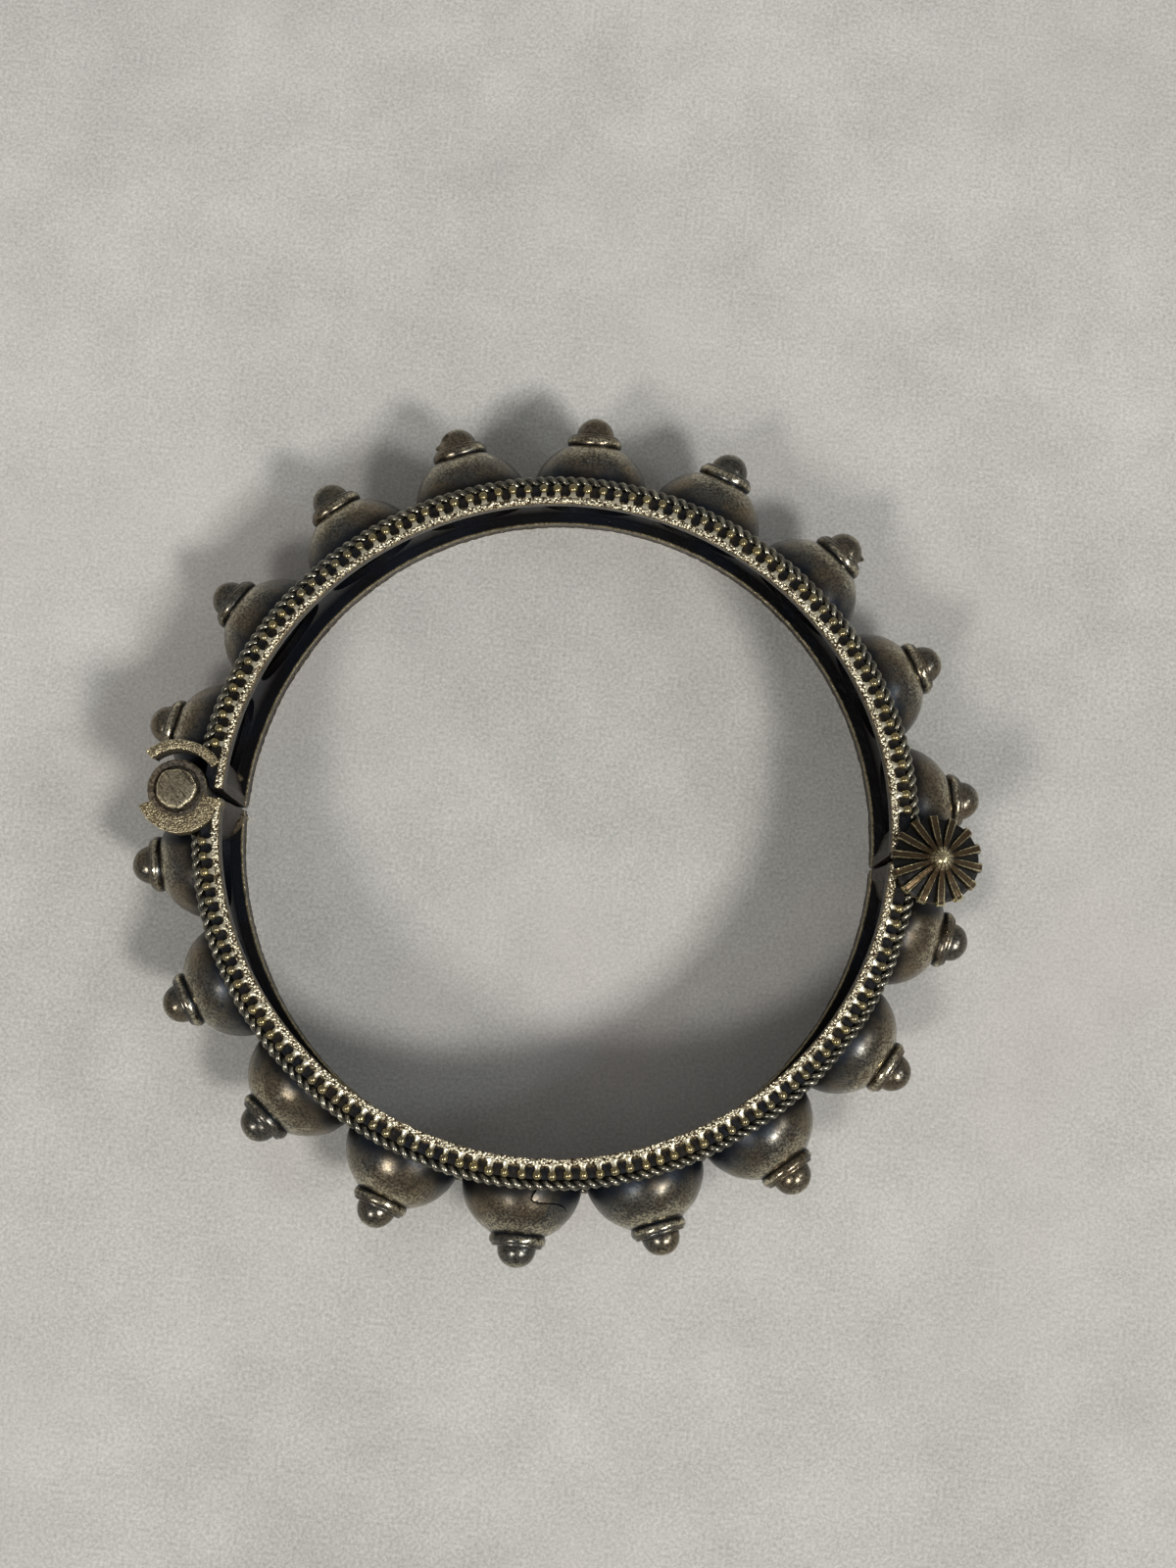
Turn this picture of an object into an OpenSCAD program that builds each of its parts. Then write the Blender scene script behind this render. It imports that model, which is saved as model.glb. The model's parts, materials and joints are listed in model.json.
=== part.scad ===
// A hinged spiked bangle, lying flat. X runs from the hinge to the clasp, Y across, Z up.
// The origin is the middle of the wrist opening, on the surface that the bangle rests on.
// Two half bands, each a channel open to the wrist, carry nine hollow spikes each. A pin joins
// them at one end, and a screw through three lugs closes the other.

/* [Wrist opening] */
// Radius of the wrist opening, to the inner edge of the rims
inner_r = 29.4; // [27.5:0.1:32]
// How far the centre of each half's arc lies from the parting line, on that half's side
arc_shift = 0.3; // [0.2:0.05:0.4]

/* [Band] */
// Depth of the channel, from the inner edge of the rims to the wall
channel_depth = 1.0; // [0.8:0.05:1.2]
// Thickness of the wall
wall_t = 0.7; // [0.65:0.05:0.9]
// Height of the lip along each edge of the channel
lip_h = 1.9; // [1.6:0.1:2]
// Thickness of the toothed rim at each edge
rim_t = 0.9; // [0.7:0.05:1]
// Width of the toothed rim, from the wrist opening to the ends of its teeth
rim_w = 1.85; // [1.8:0.05:2]
// Diameter of the rope wire between rim and spikes
rope_d = 0.94; // [0.8:0.02:1]
// Gap between the ends of the halves, at the resting edge
gap_low = 0.24; // [0.2:0.02:0.4]
// The same gap at the upper edge, where it is wider
gap_high = 0.9; // [0.4:0.1:1]

/* [Spikes] */
// Number of spikes on each half, an odd number
spikes = 9; // [7:2:9]
// Angle from one spike to the next
spike_step = 20.1; // [20:0.05:20.3]
// Radius of the round dome
dome_r = 5.3; // [5.1:0.05:5.35]
// Thickness of the dome's sheet
dome_t = 0.7; // [0.6:0.05:0.8]
// Height of the dome above the wall, up to its collar
dome_h = 4.6; // [4.4:0.05:4.7]
// Radius of the collar
collar_r = 2.5; // [2.3:0.05:2.6]
// Height of the collar
collar_h = 1.2; // [1:0.05:1.3]
// Radius of the round tip
tip_r = 1.72; // [1.5:0.02:1.8]
// Height of the tip above the collar
tip_h = 1.55; // [1.4:0.05:1.65]

/* [Hinge] */
// Distance from the band's wall out to the axis of the hinge pin, and of the clasp screw
joint_out = 2.2; // [2:0.05:2.3]
// Radius of the hinge's knuckles
knuckle_r = 2.6; // [2.5:0.05:2.7]
// Height of each outer knuckle, at the top and at the bottom
outer_knuckle_h = 2.9; // [2.6:0.1:3]
// Radius of the crescent plate around each outer knuckle
crescent_r = 3.6; // [3.5:0.05:3.7]
// Inner radius of the curved guard that faces the crescents
guard_in = 3.5; // [3.4:0.05:3.6]
// Thickness of the guard
guard_t = 0.9; // [0.8:0.05:1]
// Radius of the hinge pin
pin_r = 0.9; // [0.8:0.05:1]
// Radius of the pin's two heads
pin_head_r = 1.8; // [1.7:0.05:1.9]
// How far the upper head stands proud of the rim
pin_proud = 0.5; // [0.3:0.05:0.6]

/* [Clasp] */
// Height of the lower half's lug, in the middle of the clasp
middle_lug_h = 4.4; // [4:0.1:5]
// Radius of the screw
screw_r = 1.1; // [1:0.05:1.2]
// How deep the screw reaches into the lowest lug
screw_bite = 3.4; // [3:0.1:4]
// Radius of the fluted head, to the ends of its ribs
head_r = 3.9; // [3.7:0.05:4]
// Height of the head without its knob
head_h = 2.6; // [2.2:0.1:3]
// Number of ribs on the head
head_ribs = 14; // [12:1:16]
// Radius of the knob in the middle of the head
knob_r = 1.05; // [0.9:0.05:1.2]

/* [Fits] */
// Radial clearance of the pin and the screw in their bores
running = 0.05; // [0.03:0.01:0.1]
// Gap between faces that pass each other
clear = 0.12; // [0.1:0.01:0.15]

/* [Hidden] */
$fn = 96;

wall_in = inner_r + channel_depth;
wall_out = wall_in + wall_t;
rope_room = 0.05;
band_h = 2 * (rim_t + rope_d + rope_room + dome_r);
mid_z = band_h / 2;
rope_sunk = 0.06;
rope_r = wall_out + rope_d / 2 - rope_sunk;
rope_z = rim_t + rope_d / 2;
last_spike = (spikes - 1) / 2;
skirt = 0.58;
joint_x = wall_out + joint_out;
past = 1;
far = 60;

// Heights above the resting edge where the upper outer knuckle and the middle lug start and end
outer_top = band_h - outer_knuckle_h;
lug_low = mid_z - middle_lug_h / 2;
lug_high = mid_z + middle_lug_h / 2;
pocket_r = knuckle_r + clear;
shell_inset = 0.07;
knuckle_overlap = 0.2;
plate_step = 0.06;
pin_seat_r = pin_head_r + 0.2;
pin_seat_h = 0.8;
screw_end = lug_low - screw_bite;

// Directions around the hinge pin: where the crescent starts and ends, and the guard
crescent_from = 209;
crescent_to = 350;
guard_from = 48;
guard_to = 136;

silver = "#6f6a61";
pale_silver = "#a79d88";
brass_tint = "#7d6a48";

// Channel section of a band, drawn at its place from the middle of the wrist opening
module channel_section() {
  difference() {
    union() {
      translate([inner_r, 0]) square([wall_out - inner_r, band_h]);
      translate([inner_r, 0]) square([rim_w, rim_t]);
      translate([inner_r, band_h - rim_t]) square([rim_w, rim_t]);
    }
    translate([inner_r - past, lip_h]) square([channel_depth + past, band_h - 2 * lip_h]);
  }
}

module rope(z) {
  translate([0, 0, z]) rotate_extrude() translate([rope_r, 0]) circle(d = rope_d);
}

// A round dome of this radius, from its skirt inside the wall up to the collar
module dome(r) {
  intersection() {
    sphere(r = r);
    translate([0, 0, -skirt]) cylinder(r = dome_r + past, h = skirt + dome_h);
  }
}

// One spike, standing on the wall at the origin and pointing along +Z: dome, collar and tip
module spike_outside() {
  dome(dome_r);
  edge = collar_h / 4;
  sunk = 0.15;
  translate([0, 0, dome_h - sunk]) cylinder(r1 = collar_r - edge, r2 = collar_r, h = edge + sunk);
  translate([0, 0, dome_h + edge]) cylinder(r = collar_r, h = collar_h - 2 * edge);
  translate([0, 0, dome_h + collar_h - edge]) cylinder(r1 = collar_r, r2 = collar_r - edge, h = edge);
  translate([0, 0, dome_h + collar_h + tip_h - tip_r]) sphere(r = tip_r);
}

// Places its children on the wall at each of these spikes, counted from the half's middle one at +Y
module at_spikes(numbers) {
  for (i = numbers)
    rotate([0, 0, 90 + i * spike_step]) translate([wall_out, 0, mid_z]) rotate([0, 90, 0]) children();
}

// Sloped plates that close the channel at the two ends of a half, drawn for the side where x > 0
module end_plates() {
  thin = 1.2;
  thick = 3.4;
  inside = 0.05;
  for (side = [0, 1]) mirror([side, 0, 0])
    intersection() {
      difference() {
        cylinder(r = wall_in + wall_t / 2, h = band_h - rim_t);
        translate([0, 0, -past]) cylinder(r = inner_r + inside, h = band_h + 2 * past);
      }
      translate([0, 0, rim_t]) linear_extrude(band_h)
        polygon([[inner_r - past, -past], [wall_out, -past],
                 [wall_out, thick], [inner_r, thin], [inner_r - past, thin]]);
    }
}

// What is cut away so that a half ends at the parting line, with the gap wider at the top
module beyond_parting() {
  rotate([90, 0, 90]) translate([0, 0, -far]) linear_extrude(2 * far)
    polygon([[-far, -past], [gap_low / 2, -past], [gap_low / 2, 0],
             [gap_high / 2, band_h], [gap_high / 2, band_h + past], [-far, band_h + past]]);
}

// The soldered half without its hinge and clasp, for a half that lies at y > 0
module plain_half() {
  difference() {
    translate([0, arc_shift, 0]) difference() {
      union() {
        rotate_extrude() channel_section();
        rope(rope_z);
        rope(band_h - rope_z);
        end_plates();
        at_spikes([-last_spike:last_spike]) spike_outside();
      }
      at_spikes([-last_spike:last_spike]) sphere(r = dome_r - dome_t);
    }
    beyond_parting();
  }
}

// Walls the pockets that the two joints cut into the domes beside them
module pocket_walls() {
  intersection() {
    translate([0, arc_shift, 0]) at_spikes([-last_spike, last_spike]) dome(dome_r - shell_inset);
    for (x = [-joint_x, joint_x]) translate([x, 0, 0]) cylinder(r = pocket_r + dome_t, h = band_h);
  }
}

// A round bar on a joint's axis, from one height to another
module bar(x, r, from, to) {
  translate([x, 0, from]) cylinder(r = r, h = to - from);
}

// Part of a ring around the hinge pin, a step thinner than an outer knuckle, at the top and at the bottom
module arc_plates(inside, outside, start, end) {
  for (z = [plate_step, outer_top + plate_step]) translate([-joint_x, 0, z])
    rotate([0, 0, start]) rotate_extrude(angle = end - start)
      translate([inside, 0]) square([outside - inside, outer_knuckle_h - 2 * plate_step]);
}

module upper_half() {
  color(silver) difference() {
    union() {
      plain_half();
      pocket_walls();
      bar(-joint_x, knuckle_r, outer_knuckle_h + clear, outer_top - clear);
      arc_plates(guard_in, guard_in + guard_t, guard_from, guard_to);
      bar(joint_x, knuckle_r, 0, lug_low - clear);
      bar(joint_x, knuckle_r, lug_high + clear, band_h);
    }
    bar(-joint_x, pocket_r, -past, outer_knuckle_h + clear / 2);
    bar(-joint_x, pocket_r, outer_top - clear / 2, band_h + past);
    bar(joint_x, pocket_r, lug_low - clear / 2, lug_high + clear / 2);
    bar(-joint_x, pin_r + running, -past, band_h + past);
    bar(joint_x, screw_r + running, screw_end - clear, band_h + past);
  }
}

module lower_half() {
  color(silver) difference() {
    union() {
      mirror([0, 1, 0]) plain_half();
      mirror([0, 1, 0]) pocket_walls();
      bar(-joint_x, knuckle_r, 0, outer_knuckle_h);
      bar(-joint_x, knuckle_r, outer_top, band_h);
      arc_plates(knuckle_r - knuckle_overlap, crescent_r, crescent_from, crescent_to);
      bar(joint_x, knuckle_r, lug_low, lug_high);
    }
    bar(-joint_x, pocket_r, outer_knuckle_h, outer_top);
    bar(joint_x, pocket_r, -past, lug_low);
    bar(joint_x, pocket_r, lug_high, band_h + past);
    bar(-joint_x, pin_r + running, -past, band_h + past);
    bar(-joint_x, pin_seat_r, -past, pin_seat_h);
    bar(-joint_x, pin_seat_r, band_h - pin_seat_h / 2, band_h + past);
    bar(joint_x, screw_r + running, lug_low - past, lug_high + past);
  }
}

// The riveted pin: its lower head lies in its seat, clear of the resting surface
module hinge_pin() {
  color(pale_silver) {
    bar(-joint_x, pin_r, pin_seat_h / 2, band_h);
    bar(-joint_x, pin_head_r, clear, pin_seat_h - running);
    bar(-joint_x, pin_head_r, band_h - pin_seat_h / 2 + running, band_h + pin_proud);
  }
}

// The screw: a shaft through the three lugs, under a ribbed cone with a knob
module clasp_screw() {
  under = band_h + running;
  rib_w = 0.55;
  rib_from = 1.45;
  rib_rise = 0.35;
  rim_edge = 0.8;
  color(brass_tint) {
    bar(joint_x, screw_r, screw_end, under + rim_edge);
    translate([joint_x, 0, under]) {
      cylinder(r = head_r - rib_rise, h = rim_edge);
      translate([0, 0, rim_edge]) cylinder(r1 = head_r - rib_rise, r2 = knob_r, h = head_h - rim_edge);
      translate([0, 0, head_h]) sphere(r = knob_r);
      intersection() {
        union() {
          cylinder(r = head_r, h = rim_edge + rib_rise);
          translate([0, 0, rim_edge + rib_rise])
            cylinder(r1 = head_r, r2 = knob_r + rib_rise, h = head_h - rim_edge);
        }
        for (i = [0:head_ribs - 1]) rotate([0, 0, i * 360 / head_ribs])
          translate([rib_from, -rib_w / 2, 0]) cube([head_r, rib_w, head_h + rib_rise]);
      }
    }
  }
}

upper_half();
lower_half();
hinge_pin();
clasp_screw();
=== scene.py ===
# %% [markdown]
# A hinged bangle of oxidised silver, lying flat on a pale table. Two half bands swing on a
# riveted pin and close with a screw under a ribbed head. Each half carries nine hollow spikes,
# two toothed rims with a small ball on every tooth, and two ropes of twisted wire.
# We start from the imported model, which fixes the size and the place of everything. Its solids
# are plain, so every piece is modelled again here with its fine forms, around the same axes.

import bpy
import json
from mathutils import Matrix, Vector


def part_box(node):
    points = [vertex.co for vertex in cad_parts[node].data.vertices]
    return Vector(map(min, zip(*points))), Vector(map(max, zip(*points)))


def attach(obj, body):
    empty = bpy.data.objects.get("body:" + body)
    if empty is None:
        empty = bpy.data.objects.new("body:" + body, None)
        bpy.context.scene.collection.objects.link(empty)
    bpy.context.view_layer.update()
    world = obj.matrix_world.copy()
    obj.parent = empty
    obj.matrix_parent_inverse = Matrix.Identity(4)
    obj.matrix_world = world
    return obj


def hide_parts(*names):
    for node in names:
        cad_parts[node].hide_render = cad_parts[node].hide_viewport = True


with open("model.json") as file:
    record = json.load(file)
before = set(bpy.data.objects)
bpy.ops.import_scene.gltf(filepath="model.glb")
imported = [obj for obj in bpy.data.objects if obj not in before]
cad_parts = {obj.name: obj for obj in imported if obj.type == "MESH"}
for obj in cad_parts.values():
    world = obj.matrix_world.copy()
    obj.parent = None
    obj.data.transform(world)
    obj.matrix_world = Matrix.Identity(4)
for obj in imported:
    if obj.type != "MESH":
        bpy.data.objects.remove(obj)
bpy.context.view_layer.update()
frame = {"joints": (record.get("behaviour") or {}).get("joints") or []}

# %% Libraries that ship with Blender
import json
import math
import random

import bmesh
import bpy
from mathutils import Matrix, Vector, noise

random.seed(18)

# %% [markdown]
# Silversmiths think in millimetres, so every size below is in millimetres and each finished
# piece is scaled to metres as it leaves the bench. The band's height and the two joints come
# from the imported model. The other sizes are the real sizes that the model was built from.

# %% Sizes of the band
MM = 0.001
half_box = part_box("upper_half")
band_h = (half_box[1][2] - half_box[0][2]) / MM
mid_z = band_h / 2
inner_r = 29.4
arc_shift = 0.3
wall_in = inner_r + 1.0
wall_out = wall_in + 0.7
lip_h = 1.9
rim_t = 0.9
rim_reach = 1.85
rope_d = 0.94
rope_r = wall_out + rope_d / 2 - 0.06
gap_low = 0.24
gap_high = 0.9
print("band height:", round(band_h, 2), "mm, wrist opening:", 2 * inner_r, "mm")

# %% Sizes of the spikes
spikes_per_half = 9
spike_numbers = range(1, spikes_per_half + 1)
spike_step = 20.1
dome_r = 5.3
dome_sheet = 0.7
dome_h = 4.6
collar_h = 1.2
tip_r = 1.72
tip_h = 1.55
print(2 * spikes_per_half, "spikes, each", 2 * dome_r, "mm across")

# %% Sizes of the hinge and the clasp
hinge_x = frame["joints"][0]["pos_m"][0] / MM
screw_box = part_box("clasp_screw")
screw_x = (screw_box[0][0] + screw_box[1][0]) / 2 / MM
knuckle_r = 2.6
outer_knuckle_h = 2.9
middle_lug_h = 4.4
clear = 0.12
pocket_r = knuckle_r + clear
pin_bore_r = 0.95
screw_bore_r = 1.15
crescent_r = 3.6
guard_in = 3.5
guard_t = 0.9
lug_low = mid_z - middle_lug_h / 2
lug_high = mid_z + middle_lug_h / 2
outer_top = band_h - outer_knuckle_h
print("hinge axis at x =", round(hinge_x, 2), "mm, screw axis at x =", round(screw_x, 2), "mm")

# %% [markdown]
# The camera looks almost straight down, from a little towards the wearer's side, and the
# bangle lies turned a few degrees in the picture. The camera is built from four plain facts:
# what it looks at, how far away it is, how far it leans from the vertical, and its turn. The
# lens follows from the scale wanted in the picture, which is 1200 pixels by 1600.

# %% The camera
scene = bpy.context.scene
picture_h = 1600
pixels_per_mm = 11.66
sensor_h = 36.0
camera_distance = 172.0
camera_lean = 7.0
camera_turn = 5.5
looks_at = Vector((2.5, 3.85, band_h))


def turned(degrees, axis):
    return Matrix.Rotation(math.radians(degrees), 4, axis)


def in_scene(name, data):
    """A new object with this data, linked to the scene"""
    made = bpy.data.objects.new(name, data)
    scene.collection.objects.link(made)
    return made


camera_data = bpy.data.cameras.new("camera")
camera_data.sensor_fit = "VERTICAL"
camera_data.sensor_height = sensor_h
camera_data.lens = sensor_h * pixels_per_mm * camera_distance / picture_h
aim = turned(camera_turn, "Z") @ turned(camera_lean, "X")
camera = in_scene("camera", camera_data)
camera.matrix_world = Matrix.Translation((looks_at + aim @ Vector((0, 0, camera_distance))) * MM) @ aim
scene.camera = camera
print("lens:", round(camera_data.lens, 1), "mm")

# %% [markdown]
# Light makes silver. Two windows, in the southwest and the southeast, give the pair of soft
# highlights on every dome and throw the shadows north, and a cool patch of sky in the east
# gives the bluish glints. A dim grey room fills in the rest, because blackened metal only
# looks black where there is something dark to reflect.

# %% Lights and the room
window_distance = 4.4
daylight = (1.0, 0.975, 0.94)
sky_light = (0.86, 0.93, 1.0)


def soft_window(name, azimuth, height_angle, size, power, colour):
    """An oblong area light that looks at the bangle, azimuth counted from +X towards +Y"""
    data = bpy.data.lights.new(name, "AREA")
    data.shape = "RECTANGLE"
    data.size, data.size_y = size
    data.energy = power
    data.color = colour
    turn = math.radians(azimuth)
    rise = math.radians(height_angle)
    way = Vector((math.cos(rise) * math.cos(turn), math.cos(rise) * math.sin(turn), math.sin(rise)))
    facing = way.to_track_quat("Z", "Y").to_matrix().to_4x4()
    in_scene(name, data).matrix_world = Matrix.Translation(way * window_distance) @ facing


soft_window("window_left", 239, 47, (0.80, 0.80), 64.0, daylight)
soft_window("window_right", 320, 47, (0.85, 0.70), 115.0, daylight)
soft_window("sky_patch", 355, 42, (0.65, 0.65), 22.0, sky_light)

world = bpy.data.worlds.new("room")
world.use_nodes = True
background = world.node_tree.nodes["Background"]
background.inputs["Color"].default_value = (1.0, 0.98, 0.965, 1.0)
background.inputs["Strength"].default_value = 0.30
scene.world = world
scene.view_settings.view_transform = "Standard"

# %% [markdown]
# Procedural finishes are sums of patterns. Writing those sums as ordinary Python keeps them
# readable, so one small class wraps a node's socket: adding or multiplying two of them adds
# the Math node that does it, and every other node comes from its one method, node().

# %% A socket that can be used in sums
class Signal:
    def __init__(self, tree, socket=None):
        self.tree = tree
        self.socket = socket

    def node(self, kind, settings=None, inputs=None, output=0):
        """Adds a node: its settings first, then its sockets. Returns one of its outputs"""
        made = self.tree.nodes.new(kind)
        for name, value in (settings or {}).items():
            setattr(made, name, value)
        for name, value in (inputs or {}).items():
            if isinstance(value, Signal):
                self.tree.links.new(value.socket, made.inputs[name])
            else:
                made.inputs[name].default_value = value
        return Signal(self.tree, made.outputs[output]) if made.outputs else None

    def math(self, operation, first, second=0.0, clamp=False):
        return self.node("ShaderNodeMath", {"operation": operation, "use_clamp": clamp},
                         {0: first, 1: second})

    def __add__(self, other):
        return self.math("ADD", self, other)

    def __sub__(self, other):
        return self.math("SUBTRACT", self, other)

    def __rsub__(self, other):
        return self.math("SUBTRACT", other, self)

    def __mul__(self, other):
        return self.math("MULTIPLY", self, other)

    __radd__ = __add__
    __rmul__ = __mul__

    def clamped(self):
        return self.math("ADD", self, 0.0, clamp=True)

    def step(self, low, high):
        """0 below low and 1 above high, with a soft change between them"""
        return self.node("ShaderNodeMapRange", {"interpolation_type": "SMOOTHSTEP"},
                         {"Value": self, "From Min": low, "From Max": high})

    def mix(self, dark, light):
        """A colour between two colours, this signal being the share of the second"""
        return self.node("ShaderNodeMix", {"data_type": "RGBA"}, {0: self, 6: dark, 7: light}, output=2)


def paint(red, green, blue):
    """A colour as it looks on a screen, from 0 to 255, made linear for the shader"""
    return tuple(((value / 255 + 0.055) / 1.055) ** 2.4 for value in (red, green, blue)) + (1.0,)


# %% [markdown]
# All the silver here is one finish in different states of wear, with some light and shade
# painted into it. The dull skin of the domes drifts between warm brown and blue grey, handling
# rubs it bright where a piece stands out, and black tarnish stays where no finger or cloth can
# reach. Two attributes on each mesh say where that is: the first is 1 on worn edges and on a few
# painted highlights, and the second is 1 in the recesses and other shaded places, where it
# paints tarnish together with painted shade.

# %% The start and the end of every finish
def start_material(name):
    """A new material, and the place on the piece in millimetres for its patterns to read"""
    material = bpy.data.materials.new(name)
    material.use_nodes = True
    tree = material.node_tree
    tree.nodes.clear()
    start = Signal(tree)
    return material, start.node("ShaderNodeMapping", {}, {
        "Vector": start.node("ShaderNodeTexCoord", output="Object"),
        "Scale": (1 / MM, 1 / MM, 1 / MM)})


def cloud(place, size, detail=2.0, rough=0.5, stretch=None, turn=None):
    """Soft noise from 0 to 1 whose patches are about size millimetres across"""
    if turn:
        turn = tuple(math.radians(angle) for angle in turn)
        place = place.node("ShaderNodeMapping", {}, {"Vector": place, "Rotation": turn})
    if stretch:
        place = place.node("ShaderNodeMapping", {}, {"Vector": place, "Scale": stretch})
    return place.node("ShaderNodeTexNoise", {}, {
        "Vector": place, "Scale": 1 / size, "Detail": detail, "Roughness": rough})


def surface(height, relief, sockets):
    """The bump, whose relief is in millimetres, then the shader and the material's output"""
    bump = height.node("ShaderNodeBump", {}, {"Height": height, "Distance": relief * MM, "Strength": 1.0})
    shader = height.node("ShaderNodeBsdfPrincipled", {}, {**sockets, "Normal": bump})
    height.node("ShaderNodeOutputMaterial", {}, {"Surface": shader})


# %% The silver
def silver(name, warm, cool, bright, black, blue=None, rough=0.3, rough_bright=0.22, grain=0.22,
           speckle=0.4, relief=0.035, scratches=0.3, stains=0.0, granules=0.0, pitting=0.7, line=0.9,
           metal=0.9):
    """Colours for its skin, its worn and painted-highlight places and its tarnish and painted shade; grain,
    granules and line are in millimetres
    """
    warm, cool, bright, black, blue = [paint(*tone) for tone in (warm, cool, bright, black, blue or black)]
    material, place = start_material(name)

    # patterns: clouds of several sizes, scratches in two directions, pits and the tide marks of old damp
    rubbed = place.node("ShaderNodeAttribute", {"attribute_name": "rubbed"}, output="Fac")
    hidden = place.node("ShaderNodeAttribute", {"attribute_name": "hidden"}, output="Fac")
    drift = cloud(place, 6.0, detail=3.0)
    blotch = cloud(place, 1.5, detail=4.0, rough=0.6)
    grit = cloud(place, grain, rough=0.6)
    wrinkle = cloud(place, 0.55, rough=0.55, stretch=(1, 2.2, 1), turn=(20, 30, 40))
    long_lines = cloud(place, line, detail=4.0, rough=0.7, stretch=(7, 0.6, 1), turn=(0, 0, -40))
    cross_lines = cloud(place, line, detail=4.0, rough=0.7, stretch=(6, 0.8, 1), turn=(15, 10, -62))
    lines = (long_lines.step(0.56, 0.66) + cross_lines.step(0.58, 0.68)) * scratches
    pits = place.node("ShaderNodeTexVoronoi", {}, {"Vector": place, "Scale": 0.8, "Randomness": 1.0})
    pit = (1 - pits.step(0.05, 0.15)) * blotch.step(0.45, 0.6)
    tide = cloud(place, 5.0, detail=2.5, rough=0.55)
    tide_mark = (1 - tide.math("ABSOLUTE", tide - 0.53).step(0.003, 0.016)) * stains
    speck = (1 - grit.step(0.40, 0.58)) * speckle

    # what the patterns do to the height, and then to the colour and the roughness
    height = grit * 0.7 + wrinkle * 0.9 + blotch * 0.5 - pit * 1.2 - lines * 0.6 - tide_mark * 0.5
    if granules:
        cells = place.node("ShaderNodeTexVoronoi", {"feature": "SMOOTH_F1"}, {
            "Vector": place, "Scale": 1 / granules, "Smoothness": 0.25, "Randomness": 1.0})
        speck = speck + cells.step(0.35, 0.65) * pitting
        height = height - cells * 2.2
    # the bright colour goes on wear and on the few painted highlights that the first attribute carries
    wear_and_highlight_share = (rubbed + (blotch - 0.5) * 0.8 - speck * 0.35).step(0.25, 0.95)
    # tarnish and painted shade: the black colour goes where the second attribute is high
    patina_and_shade_share = (hidden + (blotch - 0.5) * 0.45 + (grit - 0.5) * 0.3 + pit * 0.5 - rubbed * 0.3).step(0.25, 0.95)
    patina_and_shade_colour = drift.step(0.44, 0.6).mix(black, blue)
    skin = (drift.step(0.38, 0.62) * 0.7 + blotch.step(0.4, 0.7) * 0.3).mix(warm, cool)
    skin = (speck + tide_mark + lines * 0.25).clamped().mix(wear_and_highlight_share.mix(skin, bright), black)
    roughness = (rough + (blotch - 0.5) * 0.12 + (grit - 0.5) * 0.12 - wear_and_highlight_share * (rough - rough_bright)
                 + patina_and_shade_share * 0.12).clamped()
    surface(height, relief, {"Base Color": patina_and_shade_share.mix(skin, patina_and_shade_colour), "Roughness": roughness,
                             "Metallic": metal - patina_and_shade_share * 0.3})
    return material


# %% [markdown]
# Each kind of piece then gets its own state of that silver. The domes are smooth and dark, the
# rims pale and grainy, the recesses nearly black with tarnish and painted shade, and the screw is
# browner than the rest.

# %% States of the same silver
dome_silver = silver("dome_silver", (126, 114, 94), (98, 99, 95), (222, 212, 182), (22, 21, 20),
                     blue=(18, 26, 36), rough=0.24, rough_bright=0.15, grain=0.23, speckle=0.52,
                     relief=0.010, stains=0.12, metal=0.95)
rim_silver = silver("rim_silver", (214, 194, 150), (190, 174, 138), (255, 246, 214), (62, 46, 28),
                    rough=0.38, rough_bright=0.30, relief=0.06, granules=0.22)
ball_silver = silver("ball_silver", (156, 142, 102), (130, 122, 98), (248, 240, 212), (22, 19, 14),
                     rough=0.22, rough_bright=0.24, grain=0.2, speckle=0.2, relief=0.010, scratches=0.0)
rope_silver = silver("rope_silver", (104, 100, 88), (90, 90, 84), (200, 194, 172), (16, 16, 15),
                     rough=0.24, rough_bright=0.18, speckle=0.2, relief=0.006)
# the recess's own skin is dark, for tarnish and painted shade together
recess_silver = silver("recess_silver", (74, 68, 62), (54, 58, 66), (196, 182, 146), (14, 13, 14),
                       blue=(14, 20, 30), rough=0.34, rough_bright=0.32, relief=0.03, scratches=0.5)
plate_silver = silver("plate_silver", (80, 70, 65), (62, 58, 57), (160, 150, 130), (34, 29, 28),
                      rough=0.40, rough_bright=0.34, relief=0.06, scratches=1.2, speckle=0.5)
hinge_silver = silver("hinge_silver", (164, 150, 118), (140, 130, 106), (250, 236, 196), (58, 48, 34),
                      rough=0.44, rough_bright=0.34, grain=0.2, speckle=0.35, relief=0.04, granules=0.16,
                      pitting=0.4)
ring_silver = silver("ring_silver", (134, 120, 100), (104, 99, 90), (206, 194, 156), (34, 30, 26),
                     rough=0.40, rough_bright=0.32, grain=0.28, speckle=0.6, relief=0.05, scratches=0.6,
                     metal=0.85)
pin_silver = silver("pin_silver", (156, 144, 118), (132, 124, 106), (244, 232, 196), (52, 44, 36),
                    rough=0.42, rough_bright=0.28, grain=0.25, relief=0.07, scratches=1.8, line=1.5,
                    metal=0.85)
screw_silver = silver("screw_silver", (94, 77, 54), (76, 66, 52), (240, 228, 182), (26, 26, 25),
                      rough=0.30, rough_bright=0.18, speckle=0.3, relief=0.012)
print("finishes:", [material.name for material in bpy.data.materials if material.name.endswith("_silver")])

# %% [markdown]
# Every piece goes through the same last steps at the bench. Its faces are shaded smooth with
# sharp edges kept, it is scaled from millimetres to metres, and it is told which body it rides
# on and which plain solid it stands for. The two attributes, for wear with painted highlights
# and for tarnish with painted shade, are each written by a rule that reads each point's place
# and normal, so a rule can be as simple as "bright where z is high".

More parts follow.
